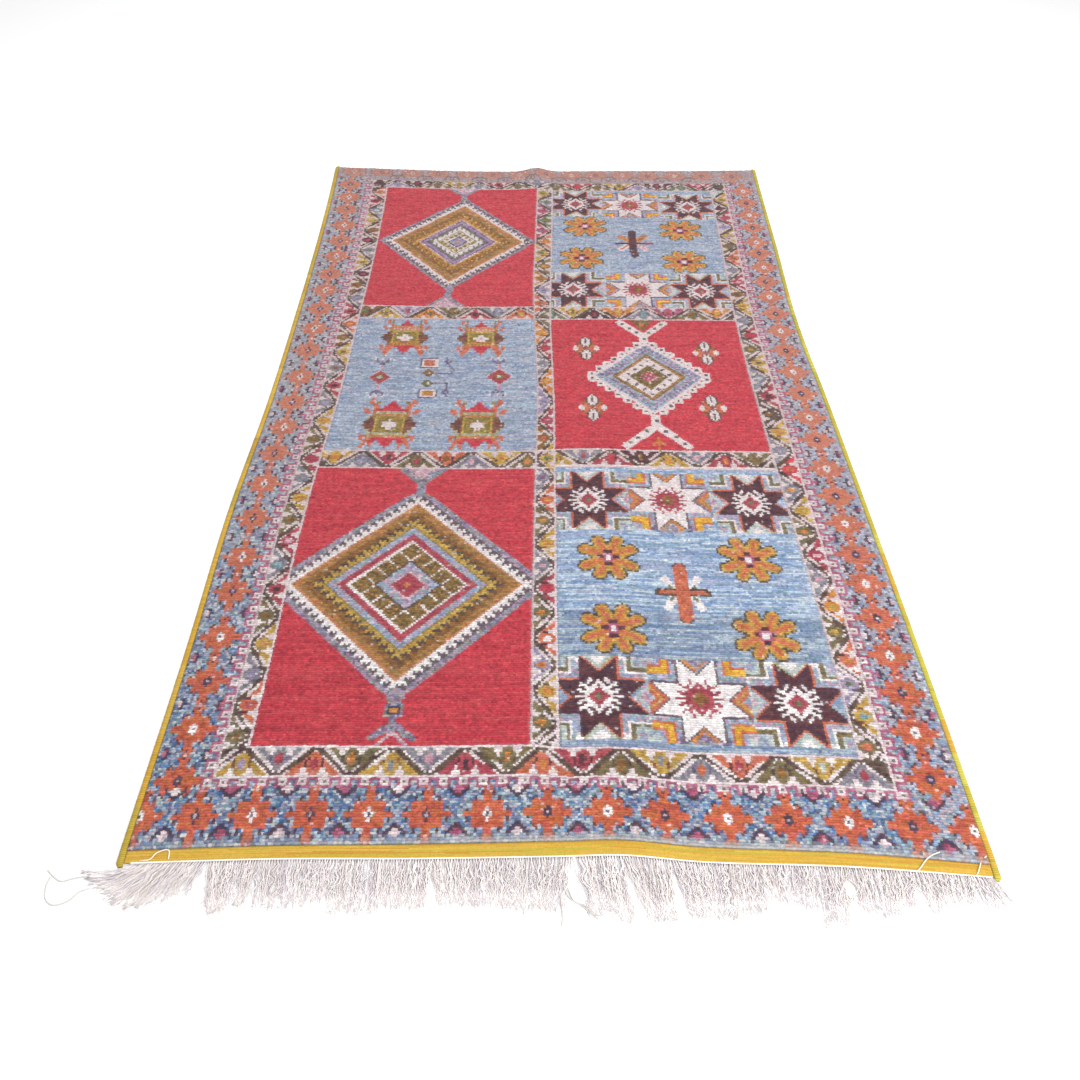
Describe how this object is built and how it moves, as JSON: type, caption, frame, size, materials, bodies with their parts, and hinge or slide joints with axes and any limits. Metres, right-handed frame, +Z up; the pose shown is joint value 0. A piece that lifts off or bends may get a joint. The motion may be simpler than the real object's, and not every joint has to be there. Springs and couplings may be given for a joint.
{
  "type": "taznakht rug",
  "caption": "Flat hand-knotted wool rug with panels of diamonds and stars, a flower border, zigzag bands, overcast long edges and a warp fringe at one end.",
  "frame": {"origin": "on the floor, under the middle of everything the rug covers, fringe and edge cords included", "axes": "+X across the rug, +Y along it from the fringed end to the plain end, +Z up out of the pile"},
  "size_m": [1.5806, 2.62, 0.0215],
  "materials": {
    "pile_wool": "cut wool pile, matt",
    "gold_wool": "flat-woven wool, matt",
    "warp_cotton": "twisted undyed warp ends, matt"
  },
  "bodies": {
    "root": {"knotted_pile": "pile_wool", "flatweave_band": "gold_wool", "selvedge_left": "gold_wool", "selvedge_right": "gold_wool", "warp_fringe": "warp_cotton"}
  },
  "joints": []
}
